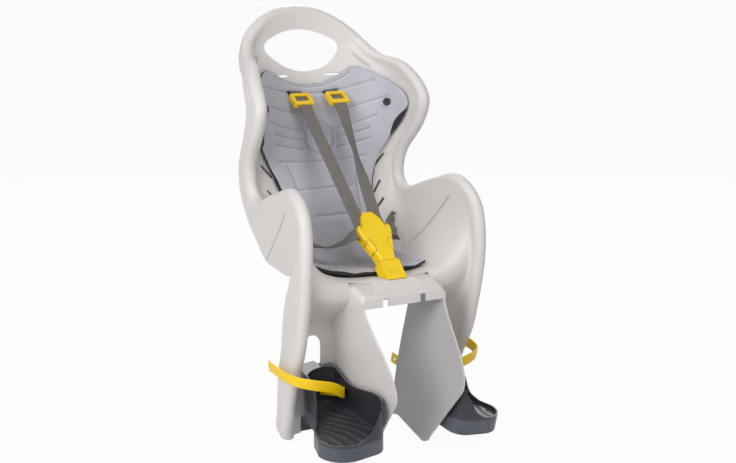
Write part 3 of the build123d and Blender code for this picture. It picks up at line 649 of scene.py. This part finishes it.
def ringed_nylon(surface):
    """Black nylon with a small dish in the head's middle and a ring near its rim, both painted darker as
    shade.
    """
    values = black_nylon(surface)
    x, y, z = surface.place()
    apart = [abs(x) - snap_middle[0], y - snap_middle[1], z - snap_middle[2]]
    far = (apart[0] * apart[0] + apart[1] * apart[1] + apart[2] * apart[2]).root()
    dish = 1 - far.between(snap_dish - snap_line, snap_dish)
    ring = 1 - abs(far - snap_ring).between(0, snap_line)
    values["Base Color"] = (dish.either(ring) * 0.7).mix(values["Base Color"], snap_shade)
    values["Specular IOR Level"] = 0.12
    return values


snap_nylon = finish("snap_nylon", ringed_nylon)
for side in hands:
    dress(f"pad_snap_{side}", snap_nylon)


# Shoulder straps: 25 mm polyester webbing, woven in lengthwise ribs, from the keepers behind the tub
# through the pad and the adjusters to the buckle's tongues. The child's left one is turned on its way.
def along(points, step):
    """Places on a smooth line through points, about a step apart, and between which points each lies."""
    points = np.array(points, float)
    before = np.vstack([2 * points[0] - points[1], points[:-1]])
    after = np.vstack([points[1:], 2 * points[-1] - points[-2]])
    slopes = (after - before) / 2
    found = []
    shares = []
    for k in range(len(points) - 1):
        count = max(2, int(np.linalg.norm(points[k + 1] - points[k]) / step))
        for f in np.arange(count) / count:
            rest = points[k] * (1 + 2 * f) * (1 - f) ** 2 + points[k + 1] * f * f * (3 - 2 * f)
            found.append(rest + slopes[k] * f * (1 - f) ** 2 + slopes[k + 1] * f * f * (f - 1))
            shares.append(k + f)
    return np.array(found + [points[-1]]), np.array(shares + [len(points) - 1.0])


def faced_out(mesh):
    """The closed mesh with all its faces turned outwards."""
    work = bmesh.new()
    work.from_mesh(mesh)
    bmesh.ops.recalc_face_normals(work, faces=work.faces)
    work.to_mesh(mesh)
    work.free()
    return mesh


strap_step = 0.003


def strap_mesh(name, points, across, profile):
    """Strap swept along points with the direction of its width at each, from a closed profile."""
    line, shares = along(points, strap_step)
    across = np.array(across, float)
    sides = np.stack([np.interp(shares, np.arange(len(across)), across[:, k]) for k in range(3)], 1)
    ahead = np.gradient(line, axis=0)
    ahead /= np.linalg.norm(ahead, axis=1, keepdims=True)
    sides -= ahead * (sides * ahead).sum(1, keepdims=True)
    sides /= np.linalg.norm(sides, axis=1, keepdims=True)
    through = np.cross(ahead, sides)
    profile = np.array(profile, float)
    rings = line[:, None] + sides[:, None] * profile[None, :, :1] + through[:, None] * profile[None, :, 1:]
    count = len(profile)
    runs = np.concatenate([[0], np.cumsum(np.linalg.norm(np.diff(line, axis=0), axis=1))])
    faces = []
    weave = []
    for r in range(len(line) - 1):
        for c in range(count):
            d = (c + 1) % count
            faces.append((r * count + c, r * count + d, (r + 1) * count + d, (r + 1) * count + c))
            weave += [runs[r], profile[c, 0], runs[r], profile[d, 0]]
            weave += [runs[r + 1], profile[d, 0], runs[r + 1], profile[c, 0]]
    for end in (0, len(line) - 1):
        faces.append([end * count + c for c in range(count)])
        weave += [value for c in range(count) for value in (runs[end], profile[c, 0])]
    mesh = bpy.data.meshes.new(name)
    mesh.from_pydata(rings.reshape(-1, 3).tolist(), [], faces)
    mesh.uv_layers.new(name="weave").data.foreach_set("uv", np.array(weave, np.float32))
    return faced_out(mesh)


webbing_half = 0.0125
webbing_core = 0.0005
webbing_rib = 0.0004
rib_count = 6
rib_points = 6
thread_pitch = 2600.0
thread_slant = 1.2
webbing_groove_shade = rgb(52, 47, 46)
webbing_crown_highlight = rgb(134, 127, 123)
webbing_thread = rgb(150, 144, 140)
webbing_wear = rgb(96, 91, 87)


def webbing_profile():
    """Outline of the webbing: ribs on both faces between two thin selvedges."""
    shares = np.linspace(-1, 1, rib_count * rib_points + 1)
    ribs = np.abs(np.sin((shares + 1) / 2 * rib_count * math.pi)) * (1 - shares**16)
    top = [(share * webbing_half, webbing_core + webbing_rib * rib) for share, rib in zip(shares, ribs)]
    return top + [(x, -t) for x, t in reversed(top)]


def ribbed_webbing(surface):
    """Polyester webbing: slanted threads on each rib, a painted highlight on its crown, painted shade in
    the grooves.
    """
    u, v, _ = surface.node("UVMap").axes()
    rib = abs(((v + webbing_half) * (rib_count * math.pi / (2 * webbing_half))).sine())
    threads = (u * thread_pitch + rib * thread_slant).sine()
    # Painted shade in the grooves and a painted highlight on the crowns of the ribs
    colour = rib.between(0.2, 0.8).mix(webbing_groove_shade, webbing_crown_highlight)
    colour = (threads.between(-0.2, 1.0) * 0.12).mix(colour, webbing_thread)
    wear = surface.noise(55.0, 4.0).between(0.45, 0.75)
    return {
        "Base Color": (wear * 0.25).mix(colour, webbing_wear),
        "Roughness": 0.72 + threads * 0.08,
        "Normal": surface.bump(threads * 0.25 + rib, 0.0005, 0.9),
        "Sheen Weight": 0.1,
    }


webbing = finish("ribbed_webbing", ribbed_webbing)
shoulder_route = [
    (0.0415, 0.2264, 0.3331), (0.0405, 0.2188, 0.3358), (0.0385, 0.2043, 0.3410),
    (0.0381, 0.1983, 0.3396), (0.0381, 0.1837, 0.3290), (0.0381, 0.1691, 0.3185),
    (0.0337, 0.1381, 0.2767), (0.0293, 0.1046, 0.2332), (0.0249, 0.0711, 0.1896),
    (0.0205, 0.0376, 0.1461), (0.0190, 0.0295, 0.1345), (0.0190, 0.0134, 0.1172),
]
threaded = (0, 0, 0, 0, 0, 0)
in_buckle = (0, 0, 0)
strap_twists = {"left": (20, 40, 8), "right": (0, 0, 0)}
strap_front = (0.8, -0.6)
for side, hand in hands.items():
    across = []
    for degrees in (*threaded, *strap_twists[side], *in_buckle):
        twist = math.radians(degrees)
        turned = [math.sin(twist) * share for share in strap_front]
        across.append((math.cos(twist) * hand, *turned))
    name = f"shoulder_webbing_{side}"
    mesh = strap_mesh(name, mirrored(shoulder_route, hand), across, webbing_profile())
    new_piece(name, mesh, webbing, "seat", "webbing", f"shoulder_strap_{side}")


# Strap adjusters: slider frames of yellow nylon, each moulded in one piece. The shoulder strap runs between
# the frame in front and a bar behind, which hold it at the length that is set.
nylon_light = rgb(255, 213, 18)
nylon_dark = rgb(252, 205, 10)
nylon = moulded_plastic(nylon_light, nylon_dark, roughness=0.36, grain=1500.0, depth=0.00025)
yellow_nylon = finish("yellow_nylon", nylon)
for side in hands:
    dress(f"strap_adjuster_{side}", yellow_nylon)


# Keepers: slotted plates of grey plastic behind the tub's wall. The ends of the webbing are sewn round
# them, and they are too long to come back through the slots.
keeper_light = rgb(122, 122, 124)
keeper_dark = rgb(110, 110, 112)
keeper_grey = moulded_plastic(keeper_light, keeper_dark, roughness=0.5, grain=1500.0, depth=0.0003)
keeper_plastic = finish("keeper_plastic", keeper_grey)
for side in hands:
    dress(f"shoulder_keeper_{side}", keeper_plastic)
    dress(f"lap_keeper_{side}", keeper_plastic)


# Buckle: two satin yellow halves of nylon welded together, with release buttons in the sides and slotted
# tongues inside. An oval line is moulded round each button, a line above the foot, and a bare recess in it.
buckle_middle = (0.0, -0.053, 0.046)
buckle_up = (0.0, 0.682, 0.731)
buckle_line = 0.0010
buckle_relief = 0.0008
foot_line = 0.0195
foot_recess = (0.0105, 0.0045)
foot_recess_place = -0.004
button_oval = (0.0078, 0.0130)
button_low, button_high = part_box("buckle_button_left")
button_middle = [(low + high) / 2 for low, high in zip(button_low, button_high)]
buckle_shade = rgb(214, 146, 0)
satin_light = rgb(255, 217, 26)
satin_dark = rgb(254, 211, 18)
satin_yellow = moulded_plastic(satin_light, satin_dark, roughness=0.34, grain=1100.0, depth=0.0003)


def up_buckle(y, z):
    """Height along the buckle of a place, or of a wire of places."""
    return (y - buckle_middle[1]) * buckle_up[1] + (z - buckle_middle[2]) * buckle_up[2]


def lined_yellow(surface):
    """Satin yellow nylon with the moulded lines of the buckle, painted darker as shade in the lines and the
    recess.
    """
    values = satin_yellow(surface)
    x, y, z = surface.place()
    out = abs(x)
    height = up_buckle(y, z)
    from_button = (out - button_middle[0]) * (1 / button_oval[0])
    above_button = (height - up_buckle(*button_middle[1:])) * (1 / button_oval[1])
    oval = (from_button * from_button + above_button * above_button).root()
    lines = 1 - abs(oval - 1).between(0, buckle_line / button_oval[0])
    lines = lines.either(1 - abs(height - foot_line).between(0, buckle_line))
    inside = 1 - out.between(foot_recess[0] - buckle_line, foot_recess[0])
    off_middle = abs(height - foot_recess_place)
    recess = inside * (1 - off_middle.between(foot_recess[1] - buckle_line, foot_recess[1]))
    relief = {"Height": 1 - lines.either(recess * 0.6), "Distance": buckle_relief, "Strength": 0.9}
    values["Base Color"] = (lines.either(recess * 0.25) * 0.75).mix(values["Base Color"], buckle_shade)
    values["Normal"] = surface.node("Bump", (), {**relief, "Normal": values["Normal"]})
    return values


buckle_plastic = finish("buckle_plastic", lined_yellow)
for half in ("front", "back"):
    dress(f"buckle_{half}", buckle_plastic)
for side in hands:
    dress(f"buckle_button_{side}", buckle_plastic)
    dress(f"buckle_tongue_{side}", yellow_nylon)


# Crotch link and its bar: a short stiff tab of dark plastic that carries the buckle on the lip, and a bar
# of zinc-plated steel under the lip, which the tab passes through and holds with its foot.
link_dark = moulded_plastic(rgb(60, 58, 56), rgb(50, 48, 46), roughness=0.5, grain=1500.0, depth=0.0003)
dress("crotch_link", finish("link_plastic", link_dark))


def galvanised(surface):
    """Zinc-plated steel with its soft spangle."""
    spangle = surface.noise(160.0, 1.0)
    return {
        "Base Color": spangle.between(0.3, 0.7).mix(rgb(186, 188, 190), rgb(206, 208, 210)),
        "Metallic": 1.0,
        "Roughness": 0.32 + spangle * 0.14,
        "Normal": surface.bump(surface.noise(800.0), 0.0002, 0.3),
    }


dress("crotch_bar", finish("galvanised_bar", galvanised))


# Lap straps: the same webbing, from the tongues round the hips to the slots low in the back. Slack, they
# turn flat on their way, so that they show their edge to the front.
lap_route = [
    (0.0313, 0.0039, 0.1071), (0.0393, 0.0039, 0.1071), (0.0570, 0.0240, 0.0900),
    (0.0740, 0.0520, 0.0810), (0.0920, 0.0840, 0.0860), (0.1173, 0.1191, 0.1068),
    (0.1240, 0.1264, 0.1000), (0.1317, 0.1348, 0.0922),
]
in_slot = (0.383, 0.418, 0.824)
lap_across = [buckle_up, (-0.2, 0.8, 0.5), (-0.5, 0.85, 0.05), (-0.54, 0.82, -0.18), (-0.3, 0.75, 0.3)]
lap_across += [in_slot] * 3
for side, hand in hands.items():
    name = f"lap_webbing_{side}"
    mesh = strap_mesh(name, mirrored(lap_route, hand), mirrored(lap_across, hand), webbing_profile())
    new_piece(name, mesh, webbing, "seat", "webbing", f"lap_strap_{side}")


# Footrests: charcoal shoes of tough grained plastic that slide on the columns. The sole has wavy ribs for
# grip, painted darker in their grooves as shade, and drain holes. The skirt below it is painted paler as a
# reflection, and the walls' top edges carry a painted highlight, paler still.
foot_origin = (0.06543, 0.02788, -0.18600)
foot_across = (0.99506, 0.0, -0.09932)
foot_back = (0.01370, 0.99044, 0.13729)
foot_up = (0.09837, -0.13798, 0.98554)
level_slope = (0.75, 0.92)
sole_half = (0.0008, 0.0016)
edge_height = (0.003, 0.005)
skirt_height = (-0.001, 0.006)
wave_pitch = 34.0
wave_sway = 0.010
wave_slant = 0.2
sole_rib_pitch = 360.0
drain_half = 0.0024
drain_rim = 0.0003
drain_middle = -0.0015
drain_reach = (0.0020, 0.0024)
# Drain holes: out from the shield, and back from the column
drain_holes = [(0.058, -0.180), (0.104, -0.146), (0.022, -0.150), (0.018, -0.092), (0.062, -0.094)]
charcoal_dark = rgb(42, 44, 51)
charcoal_light = rgb(54, 56, 64)
skirt_reflection_dark = rgb(78, 81, 91)
skirt_reflection_light = rgb(92, 95, 106)
sole_groove_shade = rgb(48, 48, 52)
sole_rib = rgb(62, 62, 67)
shoe_edge_highlight = rgb(112, 116, 126)


def shoe_plastic(surface):
    """Charcoal plastic: grained walls, a sole with wavy ribs and painted shade in their grooves,
    see-through drain holes, a skirt painted paler as a reflection, a painted highlight on the top edges.
    """
    x, y, z = surface.place()
    out = abs(x)

    def measured(axis):
        """Distance along one of the footrest's own directions."""
        start = sum(a * b for a, b in zip(axis, foot_origin))
        return out * axis[0] + y * axis[1] + z * axis[2] - start

    from_shield = measured(foot_across)
    from_column = measured(foot_back)
    height = measured(foot_up)
    upward = surface.node("TexCoord", out="Normal").axes()[2].between(*level_slope)
    sole = upward * (1 - abs(height).between(*sole_half))
    top_edge_highlight = upward * height.between(*edge_height)
    sway = (from_column * wave_pitch).sine() * wave_sway - from_column * wave_slant
    ribs = ((from_shield + sway) * sole_rib_pitch).sine().between(-0.6, 0.9) * sole
    holes = None
    for hole_out, hole_back in drain_holes:
        across = from_shield - hole_out
        ahead = from_column - hole_back
        far = (across * across + ahead * ahead).root()
        hole = 1 - far.between(drain_half - drain_rim, drain_half)
        holes = hole if holes is None else holes.either(hole)
    through = holes * (1 - abs(height - drain_middle).between(*drain_reach))
    grains = surface.noise(900.0)
    walls = surface.noise(24.0, 3.0).between(0.25, 0.75).mix(charcoal_dark, charcoal_light)
    skirt_reflection = surface.noise(18.0).between(0.3, 0.7).mix(skirt_reflection_dark, skirt_reflection_light)
    # The skirt below the sole is painted paler as a reflection
    colour = height.between(*skirt_height).mix(skirt_reflection, walls)
    # Painted shade in the grooves between the sole's ribs
    colour = (sole * 0.8).mix(colour, ribs.mix(sole_groove_shade, sole_rib))
    # Painted highlight along the walls' top edges
    return {
        "Base Color": (top_edge_highlight * 0.7).mix(colour, shoe_edge_highlight),
        "Roughness": 0.40 + (grains - 0.5) * 0.14 - sole * 0.08,
        "Normal": surface.bump(grains * 0.25 + ribs, 0.0012, 0.7),
        "Alpha": 1 - through,
        "Specular IOR Level": 0.45,
    }


foot_plastic = finish("shoe_plastic", shoe_plastic)
for side in hands:
    dress(f"footrest_{side}", foot_plastic)


# Foot straps: soft yellow vinyl bands, smooth and a little glossy, threaded through the heel of each
# footrest, with a row of punched slots in the tail.
vinyl_half = 0.0095
vinyl_thick = 0.0012
vinyl_edge = 0.0010
slot_half = (0.0042, 0.0022)
slot_spots = (0.010, 0.022, 0.034)
slot_depth = 0.006
vinyl_deep = rgb(255, 210, 6)
vinyl_bright = rgb(255, 216, 22)
vinyl_scuffed = rgb(240, 190, 10)


def vinyl_profile():
    """Outline of the vinyl band: flat with rounded edges."""
    corners = []
    for quarter, x, y in ((0, 1, 1), (90, -1, 1), (180, -1, -1), (270, 1, -1)):
        for step in (0, 30, 60, 90):
            angle = math.radians(quarter + step)
            across = (vinyl_half - vinyl_edge) * x + vinyl_edge * math.cos(angle)
            corners.append((across, (vinyl_thick - vinyl_edge) * y + vinyl_edge * math.sin(angle)))
    return corners


def tail_slots(tail, ahead, up):
    """Rounded bars through the tail, where the slots are punched out."""
    tail, ahead, up = (np.array(v) for v in (tail, ahead, up))
    through = np.cross(ahead, up)
    rim = [math.radians(a) for a in range(0, 360, 15)]
    count = len(rim)
    points = []
    faces = []
    for spot in slot_spots:
        first = len(points)
        for level in (-slot_depth, slot_depth):
            for angle in rim:
                end = math.copysign(slot_half[0] - slot_half[1], math.cos(angle))
                run = spot + end + slot_half[1] * math.cos(angle)
                lift = slot_half[1] * math.sin(angle)
                points.append((tail + ahead * run + up * lift + through * level).tolist())
        faces += [[first + c for c in range(count)], [first + count + c for c in range(count)]]
        for c in range(count):
            d = (c + 1) % count
            faces.append((first + c, first + d, first + count + d, first + count + c))
    mesh = bpy.data.meshes.new("tail_slots")
    mesh.from_pydata(points, [], faces)
    return faced_out(mesh)


def vinyl_sheen(surface):
    """Soft vinyl: a smooth bright skin with a slow ripple and small scuffs."""
    ripple = surface.noise(60.0, 2.0)
    scuffs = surface.noise(260.0, 5.0).between(0.55, 0.75)
    colour = ripple.between(0.3, 0.7).mix(vinyl_deep, vinyl_bright)
    return {
        "Base Color": (scuffs * 0.3).mix(colour, vinyl_scuffed),
        "Roughness": 0.32 + scuffs * 0.12,
        "Normal": surface.bump(ripple, 0.0008, 0.4),
        "Specular IOR Level": 0.45,
    }


vinyl = finish("yellow_vinyl", vinyl_sheen)
foot_route = [
    (0.1086, 0.1042, -0.1583), (0.1081, 0.0696, -0.1631), (0.1079, 0.0447, -0.1656),
    (0.1037, 0.0227, -0.1672), (0.0915, 0.0005, -0.1661), (0.0853, -0.0200, -0.1632),
    (0.0881, -0.0386, -0.1600), (0.1008, -0.0537, -0.1543), (0.1295, -0.0664, -0.1386),
    (0.1647, -0.0683, -0.1282), (0.1883, -0.0553, -0.1226), (0.1978, -0.0277, -0.1187),
    (0.1992, 0.0010, -0.1148), (0.1975, 0.0309, -0.1115),
]
for side, hand in hands.items():
    name = f"foot_band_{side}"
    route = mirrored(foot_route, hand)
    up = Vector(mirrored([foot_up], hand)[0])
    tail_ahead = (Vector(route[1]) - Vector(route[0])).normalized()
    tail_up = (up - tail_ahead * tail_ahead.dot(up)).normalized()
    band = loose("band", strap_mesh(name, route, [up] * len(route), vinyl_profile()))
    cutter = loose("cutter", tail_slots(route[0], tail_ahead, tail_up))
    punch = band.modifiers.new("punch", "BOOLEAN")
    punch.operation = "DIFFERENCE"
    punch.object = cutter
    mesh = settled(band)
    bpy.data.objects.remove(cutter)
    new_piece(name, mesh, vinyl, f"footrest_{side}", "foot_strap", f"foot_strap_{side}")


# Leg ties: flat plates of dark grey plastic across the back of each leg, near its foot. They tie the leg
# strip to the shield's column, so that the leg can't spread.
tie_dark = moulded_plastic(rgb(76, 72, 68), rgb(66, 62, 58), roughness=0.5, grain=1000.0, depth=0.0004)
tie_plastic = finish("tie_plastic", tie_dark)
for side in hands:
    dress(f"leg_tie_{side}", tie_plastic)
